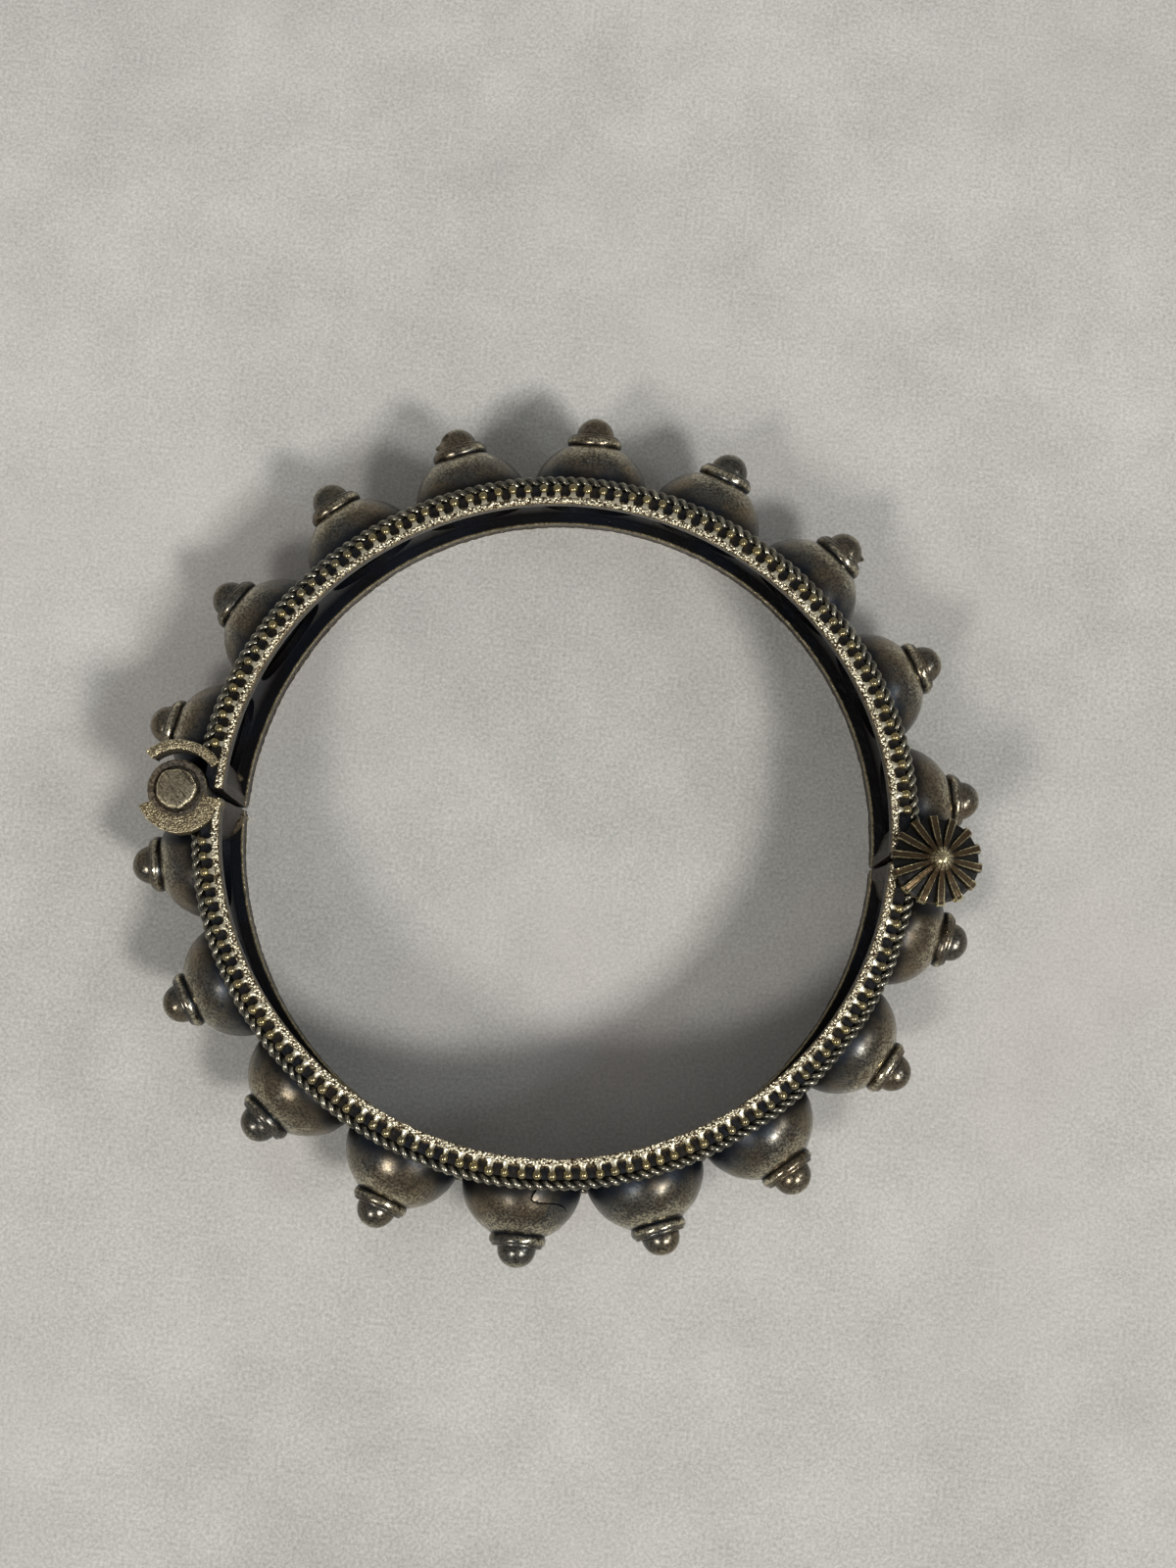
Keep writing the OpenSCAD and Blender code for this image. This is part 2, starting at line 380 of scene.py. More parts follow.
# %% Measuring and wearing a form
walls_lean = {"upper": 7.2, "lower": 8.0}    # degrees
lean_starts = 3                              # distances from the joints' line
lean_full = 29
resting_share = 0.6                          # how much of the lean the lower part of the walls has
spike_lift = 0.7
weld = 0.0005


def ramp(value, low, high):
    """0 below low, 1 above high and a straight line between"""
    return min(1.0, max(0.0, (value - low) / (high - low)))


def eased(share):
    """A share from 0 to 1 that starts and ends softly"""
    return share * share * (3 - 2 * share)


def from_middle(spot):
    """How far a place lies from the middle of its half's arc, seen from above"""
    return math.hypot(spot.x, abs(spot.y) - arc_shift)


def from_face(spot):
    """How far a place lies from the top face or from the resting one, whichever is nearer"""
    return min(spot.z, band_h - spot.z)


def weather(shape, depth, size, seed=0.0):
    """Moves each point along its normal by soft noise, as hammering and wear do"""
    shape.normal_update()
    shift = Vector((seed, seed, seed))
    moves = [(vert, vert.normal * depth * noise.noise(vert.co / size + shift)) for vert in shape.verts]
    for vert, move in moves:
        vert.co += move


def lean_in(shape):
    """Old bands are rarely true: both walls lean in a little at the top, most of all far from the joints"""
    for vert in shape.verts:
        side, half = (1, "upper") if vert.co.y > 0 else (-1, "lower")
        away = eased(ramp(abs(vert.co.y), lean_starts, lean_full))
        lean = math.sin(math.radians(walls_lean[half]) * away)
        outside = max(0.0, math.hypot(vert.co.x, vert.co.y) - wall_out)
        above = vert.co.z - mid_z
        vert.co.y -= side * lean * (above if above > 0 else above * resting_share)
        vert.co.z += lean * outside * spike_lift


# %% Finishing a piece
def as_mesh(shape, name):
    """Turns a bmesh into a mesh and frees it"""
    mesh = bpy.data.meshes.new(name)
    shape.to_mesh(mesh)
    shape.free()
    return mesh


def finished(shape, name, body, node, slot, material, rubbed=None, hidden=None, sharp=32):
    bmesh.ops.remove_doubles(shape, verts=shape.verts, dist=weld)
    shape.normal_update()
    for face in shape.faces:
        face.smooth = True
    for edge in shape.edges:
        edge.smooth = edge.calc_face_angle(0.0) < math.radians(sharp)
    for layer_name, rule in (("rubbed", rubbed), ("hidden", hidden)):
        layer = shape.verts.layers.float.new(layer_name)
        for vert in shape.verts:
            vert[layer] = rule(vert.co, vert.normal) if rule else 0.0
    if node.endswith("_half"):
        lean_in(shape)
    bmesh.ops.scale(shape, vec=(MM, MM, MM), verts=shape.verts)
    mesh = as_mesh(shape, name)
    mesh.materials.append(material)
    piece = in_scene(name, mesh)
    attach(piece, body)
    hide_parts(node)
    return piece


def soldered(shape, name, half, material, **wear):
    """Finishes a piece that is soldered to a half and stands for a part of that half's solid"""
    return finished(shape, name, half, half + "_half", "oxidised_silver", material, **wear)


# %% [markdown]
# Three ways of making a form cover the whole bangle. A lathe turns a profile about an axis, a
# sweep carries a section round a part of a turn, and a cut takes one form out of another. The
# halves end at the parting line, which leans a little so that the gap is wider on top.

# %% Lathe and sweep
def arc(centre, radius, start, end, steps):
    """Points on a round stretch of a profile, angles in degrees from the first axis"""
    turns = [math.radians(start + (end - start) * step / steps) for step in range(steps + 1)]
    return [(centre[0] + radius * math.cos(turn), centre[1] + radius * math.sin(turn)) for turn in turns]


def outline(shape, points, closed):
    verts = [shape.verts.new((across, 0, up)) for across, up in points]
    following = verts[1:] + verts[:1] if closed else verts[1:]
    return verts + [shape.edges.new(pair) for pair in zip(verts, following)]


def only(kind, geom):
    """Only the vertices, or only the edges, of what an operator worked on"""
    return [item for item in geom if isinstance(item, kind)]


def face_outwards(shape):
    bmesh.ops.recalc_face_normals(shape, faces=shape.faces)


def close_holes(shape):
    bmesh.ops.holes_fill(shape, edges=[edge for edge in shape.edges if edge.is_boundary], sides=0)


def lathe(points, steps, closed=False):
    shape = bmesh.new()
    bmesh.ops.spin(shape, geom=outline(shape, points, closed), cent=(0, 0, 0), axis=(0, 0, 1),
                   dvec=(0, 0, 0), angle=math.tau, steps=steps, use_merge=True)
    bmesh.ops.remove_doubles(shape, verts=shape.verts, dist=weld)
    face_outwards(shape)
    return shape


def sweep(points, steps, start, end):
    """A closed section, radius and height, carried round the origin between two directions in degrees"""
    shape = bmesh.new()
    section = outline(shape, points, closed=True)
    bmesh.ops.transform(shape, matrix=turned(start, "Z"), verts=only(bmesh.types.BMVert, section))
    bmesh.ops.spin(shape, geom=section, cent=(0, 0, 0), axis=(0, 0, 1), dvec=(0, 0, 0),
                   angle=math.radians(end - start), steps=steps)
    close_holes(shape)
    face_outwards(shape)
    return shape


# %% Parting line and mirrored copies
past_parting = 3.0


def cut_at_parting(shape, side=1):
    """Cuts a form at the upper half's parting line, or the lower one's with side -1, and closes the cut"""
    lean = Vector((0, side * band_h, -(gap_high - gap_low) / 2)).normalized()
    bmesh.ops.bisect_plane(shape, geom=shape.verts[:] + shape.edges[:] + shape.faces[:],
                           plane_co=(0, side * gap_low / 2, 0), plane_no=lean, clear_inner=True)
    close_holes(shape)


def half_turn(points, steps):
    """A closed section carried round the upper half, from parting line to parting line"""
    shape = sweep(points, steps, -past_parting, 180 + past_parting)
    bmesh.ops.translate(shape, vec=(0, arc_shift, 0), verts=shape.verts)
    cut_at_parting(shape)
    face_outwards(shape)
    return shape


def to_half(shape, half):
    """Leaves a form in the upper half, or mirrors it into the lower one"""
    if half == "lower":
        bmesh.ops.scale(shape, vec=(1, -1, 1), verts=shape.verts)
        bmesh.ops.reverse_faces(shape, faces=shape.faces)
    return shape


def to_resting(shape):
    """Turns a form made for the top edge of the band over, onto the edge that rests on the table"""
    bmesh.ops.scale(shape, vec=(1, 1, -1), verts=shape.verts)
    bmesh.ops.translate(shape, vec=(0, 0, band_h), verts=shape.verts)
    bmesh.ops.reverse_faces(shape, faces=shape.faces)


edges_of_band = [(half, level) for half in ("upper", "lower") for level in ("top", "resting")]


def to_edge(shape, half, level):
    """Puts a form made for the upper half's top edge on one of the four edges"""
    to_half(shape, half)
    if level == "resting":
        to_resting(shape)
    return shape


# %% [markdown]
# Holes, pockets and the crack are cut with the Boolean modifier, which takes one mesh out of
# another exactly. Its result is read back into a bmesh, and the two meshes are thrown away.

# %% Cutting and joining
def combined(shape, tool, operation):
    """The first form cut by, joined with or kept inside the second"""
    objects = [in_scene("bench", as_mesh(form, "bench")) for form in (shape, tool)]
    boolean = objects[0].modifiers.new("boolean", "BOOLEAN")
    boolean.operation = operation
    boolean.solver = "EXACT"
    boolean.object = objects[1]
    result = bmesh.new()
    result.from_object(objects[0], bpy.context.evaluated_depsgraph_get())
    for item in objects:
        mesh = item.data
        bpy.data.objects.remove(item)
        bpy.data.meshes.remove(mesh)
    return result


def together(*forms):
    """Several forms in one bmesh"""
    whole = bmesh.new()
    for form in forms:
        mesh = as_mesh(form, "bench")
        whole.from_mesh(mesh)
        bpy.data.meshes.remove(mesh)
    return whole


def rod(radius, length, place):
    """A round rod whose middle stands at a place"""
    shape = bmesh.new()
    bmesh.ops.create_cone(shape, cap_ends=True, segments=64, radius1=radius, radius2=radius,
                          depth=length, matrix=place)
    return shape


def bar(across, radius, low, high):
    """A rod that stands on a joint's axis"""
    return rod(radius, high - low, Matrix.Translation((across, 0, (low + high) / 2)))


def bevelled(shape, edges, offset, segments):
    bmesh.ops.bevel(shape, geom=edges, offset=offset, offset_type="OFFSET", affect="EDGES",
                    segments=segments, profile=0.5, material=-1)


def sharp_edges(shape, degrees):
    return [edge for edge in shape.edges if edge.calc_face_angle(0.0) > math.radians(degrees)]


# %% [markdown]
# The knuckles of one half turn inside pockets in the other half, so the pockets are cut from
# everything that they reach. One list of bars says where they are in each half.

# %% Room for the joints
past = 1.0
pockets = {
    "upper": [(hinge_x, pocket_r, -past, outer_knuckle_h + clear / 2),
              (hinge_x, pocket_r, outer_top - clear / 2, band_h + past),
              (screw_x, pocket_r, lug_low - clear / 2, lug_high + clear / 2)],
    "lower": [(hinge_x, pocket_r, outer_knuckle_h, outer_top),
              (screw_x, pocket_r, -past, lug_low),
              (screw_x, pocket_r, lug_high, band_h + past)],
}
bores = [(hinge_x, pin_bore_r, -past, band_h + past), (screw_x, screw_bore_r, -past, band_h + past)]
print("pockets:", {half: len(bars) for half, bars in pockets.items()}, "and", len(bores), "bores")


def with_pockets(shape, half):
    """Cuts the pockets of this half, and then the bores"""
    for bars in (pockets[half], bores):
        shape = combined(shape, together(*[bar(*size) for size in bars]), "DIFFERENCE")
    return shape


# %% [markdown]
# The band is a channel of sheet that opens to the wrist: a wall with a lip along each edge. It
# is one section carried round half a turn. The domes are hollow and open into the channel, so
# a round hole is cut behind each of them.

# %% The channel bands
lip_t = 0.3
hole_r = 4.35
hole_depth = 4.0


def spike_place(half, number):
    """Turns a form that stands on the origin along +Z into spike 1 to 9, counted from the hinge"""
    side = 1 if half == "upper" else -1
    turn = side * (90 - (number - (spikes_per_half + 1) / 2) * spike_step)
    return (Matrix.Translation((0, side * arc_shift, 0)) @ turned(turn, "Z")
            @ Matrix.Translation((wall_out, 0, mid_z)) @ turned(90, "Y"))


def channel(half):
    edge = 0.1
    under_rim = rim_t - 0.02
    low_lip = [(wall_in, lip_h), (inner_r + lip_t, lip_h), (inner_r + edge, lip_h), (inner_r, lip_h - edge),
               (inner_r, lip_h - lip_t), (inner_r, under_rim)]
    high_lip = [(across, band_h - height) for across, height in reversed(low_lip)]
    section = high_lip + low_lip + [(wall_out, under_rim), (wall_out, band_h - under_rim)]
    shape = to_half(half_turn(section, steps=200), half)
    holes = [rod(hole_r, hole_depth, spike_place(half, number)) for number in spike_numbers]
    return with_pockets(combined(shape, together(*holes), "DIFFERENCE"), half)


def lip_wear(spot, normal):
    """Bright along the inner corner of each lip, where the band rubs the skin"""
    across = from_middle(spot) - inner_r
    return (1 - ramp(abs(from_face(spot) - lip_h), 0.12, 0.28)) * (1 - ramp(across, 0.12, 0.28))


# Tarnish and painted shade: black deep in the channel, lighter at the lip's corner and a little lighter on
# the outer wall between the domes
def channel_shade(spot, normal):
    across = from_middle(spot) - inner_r
    return 0.25 + 0.75 * ramp(across, 0.12, 0.28) - 0.3 * ramp(across, 1.5, 1.7)


for half in ("upper", "lower"):
    band = soldered(channel(half), half + "_band", half, recess_silver,
                    rubbed=lip_wear, hidden=channel_shade)
    print(band.name, len(band.data.polygons), "faces")

# %% [markdown]
# At each end the channel is closed by a sloped tongue of thicker metal, smooth and brown. It
# fills the section at the parting line and runs down to the channel's floor behind an arched
# edge, so it is a wedge drawn from rim to rim whose far edge follows a curve.

# %% The end plates
def end_tongue(half, side):
    """The plate that closes one end of a half: side is -1 at the hinge and 1 at the clasp"""
    thin = 1.2
    middle_reach = 3.5
    edge_reach = 2.2
    steps = 14
    near = inner_r + 0.12
    far = wall_in + 0.12
    shape = bmesh.new()
    rows = []
    for step in range(steps + 1):
        height = rim_t + (band_h - 2 * rim_t) * step / steps
        off_middle = (height - mid_z) / (mid_z - rim_t)
        reach = edge_reach + (middle_reach - edge_reach) * math.sqrt(1 - 0.95 * off_middle ** 2)
        flat = thin * (0.75 + 0.25 * (1 - off_middle ** 2))
        points = [(near, -1), (far, -1), (far, reach), (wall_in - 0.25, reach - 0.4),
                  (inner_r + 0.35, flat + 0.25), (near, flat)]
        verts = [shape.verts.new((side * across, along, height)) for across, along in points]
        rows.append([shape.edges.new(pair) for pair in zip(verts, verts[1:] + verts[:1])])
    for low_row, high_row in zip(rows, rows[1:]):
        bmesh.ops.bridge_loops(shape, edges=low_row + high_row)
    for row in (rows[0], rows[-1]):
        bmesh.ops.contextual_create(shape, geom=row)
    face_outwards(shape)
    cut_at_parting(shape)
    face_outwards(shape)
    at_parting = [edge for edge in sharp_edges(shape, 50) if all(vert.co.y < 0.6 for vert in edge.verts)]
    bevelled(shape, at_parting, offset=0.10, segments=2)
    weather(shape, 0.05, 1.4, seed=side * 3.0)
    return to_half(shape, half)


def plate_wear(spot, normal):
    """A thin bright line along the edge at the parting line"""
    tilt = abs(normal.y)
    return 0.8 * ramp(tilt, 0.45, 0.6) * (1 - ramp(tilt, 0.80, 0.90)) if abs(spot.y) < 0.7 else 0.0


for half in ("upper", "lower"):
    for side, end in ((-1, "hinge"), (1, "clasp")):
        soldered(end_tongue(half, side), f"{half}_{end}_end_plate", half, plate_silver,
                 rubbed=plate_wear, sharp=50)

# %% [markdown]
# Each edge of the band carries a flat rim cut into short teeth. The rim is a flat strip
# carried round half a turn, and noise makes its outer edge ragged and its face grainy, as
# old cast and filed silver is. Each of the four rims gets noise of its own.

# %% The flat strip of each rim
flat_w = 0.60
rim_seeds = dict(zip(edges_of_band, (3.0, 23.0, 41.0, 61.0)))


def rim_strip(half, level):
    """The upper rim of a half, its flat face at the band's full height, with a ragged outer edge"""
    outside = inner_r + flat_w
    low = band_h - rim_t
    corner = 0.07
    across = [inner_r + corner + (flat_w - 2 * corner) * step / 4 for step in range(5)]
    section = ([(inner_r, low), (inner_r, low + rim_t / 2), (inner_r, band_h - corner)]
               + [(radius, band_h) for radius in across]
               + [(outside, band_h - corner), (outside + 0.12, low + rim_t / 2), (outside + 0.2, low)])
    shape = half_turn(section, steps=520)
    seed = rim_seeds[half, level]
    for vert in shape.verts:
        radius = math.hypot(vert.co.x, vert.co.y - arc_shift)
        ragged = noise.noise(vert.co / 0.55 + Vector((seed, 0, 0))) + 0.6 * noise.noise(vert.co / 1.7)
        scale = 1 + 0.12 * ragged * ramp(radius, inner_r + 0.3, outside) / radius
        vert.co.x *= scale
        vert.co.y = arc_shift + (vert.co.y - arc_shift) * scale
    weather(shape, 0.07, 0.42, seed)
    weather(shape, 0.05, 2.5, seed + 5)
    return to_edge(shape, half, level)


def rim_wear(spot, normal):
    """Rubbed on the face that lies on the table or shows on top"""
    return ramp(abs(normal.z), 0.3, 0.75)


def rim_shade(spot, normal):
    """Tarnish and painted shade: dark on its sides, most of all on the resting rim, which shows inside the
    ring, and dark below the face
    """
    side = 0.5 if spot.z > mid_z else 1.05
    return max(side * (1 - ramp(abs(normal.z), 0.2, 0.6)), ramp(from_face(spot), 0.45, 0.9))


for half, level in edges_of_band:
    rim = soldered(rim_strip(half, level), f"{half}_{level}_rim", half, rim_silver,
                   rubbed=rim_wear, hidden=rim_shade, sharp=50)
    print(rim.name, len(rim.data.polygons), "faces")

# %% [markdown]
# Every tooth ends in a little ball. One tooth is modelled, a bevelled neck with a round ball,
# and then copied round the arc with small differences, because the real ones were filed and
# soldered by hand. It has few faces, as it is repeated hundreds of times.

# %% One tooth with its ball
neck_h = 0.60
neck_droop = 0.22
ball_r = 0.45
ball_at = inner_r + rim_reach - ball_r + 0.02
ball_drop = 0.05


def tooth_mesh():
    """A neck, drawn in plan as distance out and half its width and then extruded down, with its ball"""
    start = inner_r + flat_w - 0.15
    end = ball_at - 0.1
    plan = [(start, 0.50), (start + 0.20, 0.36), (start + 0.31, 0.25), (end, 0.20)]
    shape = bmesh.new()
    verts = [shape.verts.new((along, -side, -0.01)) for along, side in plan]
    verts += [shape.verts.new((along, side, -0.01)) for along, side in reversed(plan)]
    bmesh.ops.contextual_create(shape, geom=verts)
    made = bmesh.ops.extrude_face_region(shape, geom=shape.faces[:], use_keep_orig=True)
    bmesh.ops.translate(shape, vec=(0, 0, -neck_h), verts=only(bmesh.types.BMVert, made["geom"]))
    face_outwards(shape)
    for vert in shape.verts:
        vert.co.z -= neck_droop * ramp(vert.co.x, start + 0.2, end)
    top_edges = [edge for edge in shape.edges if all(vert.co.z > -neck_h / 2 for vert in edge.verts)]
    bevelled(shape, top_edges, offset=0.07, segments=1)
    ball = bmesh.ops.create_uvsphere(shape, u_segments=12, v_segments=7, radius=ball_r)
    bmesh.ops.translate(shape, vec=(ball_at, 0, -ball_r - ball_drop), verts=ball["verts"])
    return as_mesh(shape, "tooth")


tooth = tooth_mesh()
print("one tooth has", len(tooth.polygons), "faces")

# %% The rows of teeth
tooth_step = 2.48
first_tooth = 7.6
teeth_per_rim = int((180 - 2 * first_tooth) / tooth_step) + 1


def row_of_teeth(half, level):
    spread = (180 - 2 * first_tooth) / (teeth_per_rim - 1)
    teeth = []
    for number in range(teeth_per_rim):
        turn = first_tooth + number * spread + random.uniform(-0.14, 0.14)
        wide = random.uniform(0.93, 1.05)
        sizes = (1 + random.uniform(-0.002, 0.001), wide, random.uniform(0.96, 1.03), 1)
        one = bmesh.new()
        one.from_mesh(tooth)
        place = Matrix.Translation((0, arc_shift, band_h)) @ turned(turn, "Z") @ Matrix.Diagonal(sizes)
        bmesh.ops.transform(one, matrix=place, verts=one.verts)
        weather(one, 0.05, 0.8, number)
        teeth.append(one)
    return to_edge(together(*teeth), half, level)


def tooth_wear(spot, normal):
    """Rubbed bright where the neck joins the rim, less on the ball"""
    outward = ramp(from_middle(spot), ball_at - 0.62, ball_at - 0.30)
    return (1.0 - 0.78 * outward) * (1.0 - ramp(from_face(spot), 0.12, 0.48))


# Tarnish and painted shade, darker further below the face: under the necks and on the balls' lower sides
def tooth_shade(spot, normal):
    return ramp(from_face(spot), 0.50, 0.75)


for half, level in edges_of_band:
    teeth = soldered(row_of_teeth(half, level), f"{half}_{level}_teeth", half, ball_silver,
                     rubbed=tooth_wear, hidden=tooth_shade, sharp=50)
    print(teeth.name, teeth_per_rim, "teeth,", len(teeth.data.polygons), "faces")

# %% [markdown]
# Under the teeth runs a rope of two wires twisted together. Each wire is a ring of points
# pushed along a helix by extruding it again and again, and the helix itself follows the arc
# of the band. The strands show as slanting grains, bright on their rubbed crests and black
# between them with tarnish and painted shade.

# %% The twisted ropes
strand_r = 0.30
helix_r = 0.235
twist_length = 1.84
rings_per_twist = 12
rope_ends = {"hinge": 6.2, "clasp": 4.4}
rope_z = band_h - rim_t - rope_d / 2


def rope(half, level):
    """Two strands under one of the four rims; all four ropes are twisted the same way"""
    shape = bmesh.new()
    hand = -1 if (half == "upper") == (level == "top") else 1
    start = math.radians(rope_ends["clasp"])
    end = math.radians(180 - rope_ends["hinge"])
    rings = int((end - start) * rope_r / twist_length * rings_per_twist)
    slope = math.atan2(math.tau * helix_r, twist_length)
    for strand in (0, 1):
        verts = bmesh.ops.create_circle(shape, cap_ends=True, segments=8, radius=strand_r)["verts"]
        rest = [vert.co.copy() for vert in verts]
        loop = [edge for edge in shape.edges if edge.verts[0] in verts and edge.verts[1] in verts]
        for ring in range(rings + 1):
            turn = start + (end - start) * ring / rings
            twist = hand * (math.tau * ring / rings_per_twist + strand * math.pi)
            if ring:
                made = bmesh.ops.extrude_edge_only(shape, edges=loop)
                verts = only(bmesh.types.BMVert, made["geom"])
                loop = only(bmesh.types.BMEdge, made["geom"])
            off_rope = Vector((rope_r + math.cos(twist) * helix_r, 0, rope_z + math.sin(twist) * helix_r))
            place = (Matrix.Rotation(turn, 4, "Z") @ Matrix.Translation(off_rope)
                     @ Matrix.Rotation(-twist, 4, "Y") @ Matrix.Rotation(hand * slope - math.pi / 2, 4, "X"))
            for vert, spot in zip(verts, rest):
                vert.co = place @ spot
        bmesh.ops.contextual_create(shape, geom=loop)
    bmesh.ops.translate(shape, vec=(0, arc_shift, 0), verts=shape.verts)
    face_outwards(shape)
    weather(shape, 0.04, 1.1, seed=4.0)
    return to_edge(shape, half, level)


def off_core(spot):
    """How far a point lies from the middle of its rope"""
    return math.hypot(from_middle(spot) - rope_r, from_face(spot) - (band_h - rope_z))


# The rope is rubbed bright on its crests and dark between the strands, with tarnish and painted shade
for half, level in edges_of_band:
    strands = soldered(rope(half, level), f"{half}_{level}_rope", half, rope_silver,
                       rubbed=lambda spot, normal: 0.7 * ramp(off_core(spot), 0.44, 0.54),
                       hidden=lambda spot, normal: 1 - ramp(off_core(spot), 0.20, 0.38), sharp=60)
    print(strands.name, len(strands.data.polygons), "faces")

# %% [markdown]
# A spike is a hollow dome raised from sheet, a collar of rolled wire round its crown and a
# small round tip. All three are turned shapes, so one profile on the lathe makes them, from
# the inside of the dome out over its skirt, up the outside and over the tip. Soft noise then
# dents each one differently, as years of knocks have done.

# %% The profile of a spike
crown_share = 0.955
crown_r = 2.42
skirt = 0.56


def spike_profile():
    """Inside of the dome, its skirt and outside, the collar's roll and shoulder and the tip"""
    inside = dome_r - dome_sheet
    cavity = arc((0, 0), inside, 90, -math.degrees(math.asin(skirt / inside)), 14)
    dip = math.degrees(math.asin(skirt / dome_r))
    dome = [(across, height * (1 if height < 0 else crown_share)) for across, height in
            arc((0, 0), dome_r, -dip, math.degrees(math.acos(crown_r / dome_r)), 28)]
    roll = [(2.38, 4.54), (2.42, 4.62), (2.47, 4.72), (2.50, 4.84), (2.51, 4.97), (2.49, 5.11), (2.44, 5.24)]
    shoulder = [(2.36, 5.34), (2.26, 5.41), (2.25, 5.47), (2.22, 5.54), (2.14, 5.61), (2.00, 5.64),
                (1.80, 5.60)]
    tip_middle = dome_h + collar_h + tip_h - tip_r
    tip = [(1.71, 5.52)] + arc((0, tip_middle), tip_r, -2, 90, 15)
    cavity[0] = (0, cavity[0][1])
    tip[-1] = (0, tip[-1][1])
    return cavity + dome + roll + shoulder + tip


print("the profile of a spike has", len(spike_profile()), "points")

# %% Wear, tarnish and painted shade on a spike
def spike_rules(half, number):
    """The rules for wear with painted sheen and for tarnish with painted shade, which see the spike as if it
    stood upright on the origin
    """
    upright = spike_place(half, number).inverted()

    def wear(spot, normal):
        local = upright @ spot
        across = math.hypot(local.x, local.y)
        crown = ramp(across, 2.40, 2.50) * ramp(local.z, 4.6, 4.9)
        tip = ramp(local.z, 6.2, 7.3)
        # The belly is rubbed, and also painted lighter as a sheen that brightens the domes' highlights
        belly_wear_and_sheen = 0.6 * ramp(local.z, 1.5, 3.9) * (1 - ramp(local.z, 4.3, 4.6))
        return max(0.72 * crown, 0.6 * tip, belly_wear_and_sheen)

    # Tarnish and painted shade: dark at the foot by the wall, where the dark reflection of the room is
    # painted too, in the collar's groove and the tip's seat, inside the hollow dome and near the two joints
    def shade(spot, normal):
        local = upright @ spot
        across = math.hypot(local.x, local.y)
        foot = 0.92 * (1 - ramp(local.z, 0.9, 3.7))
        groove = 1 - ramp(math.hypot(across - 2.39, local.z - 4.54), 0.05, 0.24)
        seat = 1 - ramp(math.hypot(across - 1.74, local.z - 5.58), 0.06, 0.28)
        inside = 1.0 if local.length < dome_r - dome_sheet / 2 and local.z < dome_h else 0.0
        joint = min(math.hypot(spot.x - hinge_x, spot.y), math.hypot(spot.x - screw_x, spot.y))
        return max(foot, groove, seat, inside, 1.2 * (1 - ramp(joint, 3.8, 6.4)))
    return wear, shade


# %% [markdown]
# Old silver carries its history. On this bangle one dome has cracked along a wandering line,
# one tip is lumpy and one collar has a burr. A chain of thin ovals, bridged into a tube, cuts
# the crack, and a soft push at a few places gives the lumps and the burr.

# %% Knocks and a crack
def crack():
    """A deep thin slot to be cut out of one dome; its course is given along the band and up"""
    course = [(1.25, -0.1), (1.42, 0.4), (1.36, 0.9), (1.12, 1.3), (1.05, 1.58), (1.25, 1.80), (1.7, 1.88),
              (2.2, 1.86), (2.8, 1.80), (3.4, 1.80), (3.9, 1.95), (4.25, 2.35)]
    spots = [Vector((-math.sqrt(dome_r ** 2 - along ** 2 - (up / crown_share) ** 2), along, up))
             for along, up in course]
    last = len(spots) - 1
    shape = bmesh.new()
    loops = []
    for number, spot in enumerate(spots):
        ahead = spots[min(number + 1, last)] - spots[max(number - 1, 0)]
        outward = spot.normalized()
        side = ahead.cross(outward).normalized()
        across_slot = Matrix((side, outward, side.cross(outward))).transposed().to_4x4()
        half_width = 0.015 if number in (0, last) else 0.038
        made = bmesh.ops.create_circle(shape, segments=8, radius=1.0, matrix=Matrix.Translation(spot)
                                       @ across_slot @ Matrix.Diagonal((half_width, 0.35, 1, 1)))
        loops.append([edge for edge in shape.edges if edge.verts[0] in made["verts"]])
    for near, far in zip(loops, loops[1:]):
        bmesh.ops.bridge_loops(shape, edges=near + far)
    for end in (loops[0], loops[-1]):
        bmesh.ops.contextual_create(shape, geom=end)
    face_outwards(shape)
    return shape


def knock(shape, centre, reach, push):
    """Pushes the metal near one place, as a knock or a burr does"""
    for vert in shape.verts:
        near = 1 - ramp((vert.co - Vector(centre)).length, 0, reach)
        vert.co += Vector(push) * eased(near)


knocks = {("upper", 4): [((-0.3, 1.7, 5.95), 0.45, (0, 0.42, 0.05)),
                         ((-1.0, 0.9, 6.7), 0.55, (0.30, -0.28, -0.25)),
                         ((-1.2, 0.1, 6.75), 0.35, (-0.10, 0, 0.12))],
          ("upper", 7): [((-0.2, -1.6, 6.4), 0.35, (0, -0.42, 0.16))]}
cracked_spike = ("lower", 5)
print("knocked:", list(knocks), "cracked:", cracked_spike)

# %% The spikes
plug_r = dome_r - 0.3
plug_margin = 0.5


def beside_joint(shape, half, number):
    """Stops a dome's cavity short of the joint, cuts the joint's pocket, and ends it at the parting line"""
    joint = hinge_x if number == 1 else screw_x
    core = bmesh.new()
    bmesh.ops.create_uvsphere(core, u_segments=48, v_segments=32, radius=plug_r,
                              matrix=spike_place(half, number))
    wall = bar(joint, pocket_r + dome_sheet, plug_margin, band_h - plug_margin)
    plug = combined(core, wall, "INTERSECT")
    shape = with_pockets(combined(shape, plug, "UNION"), half)
    cut_at_parting(shape, 1 if half == "upper" else -1)
    return shape


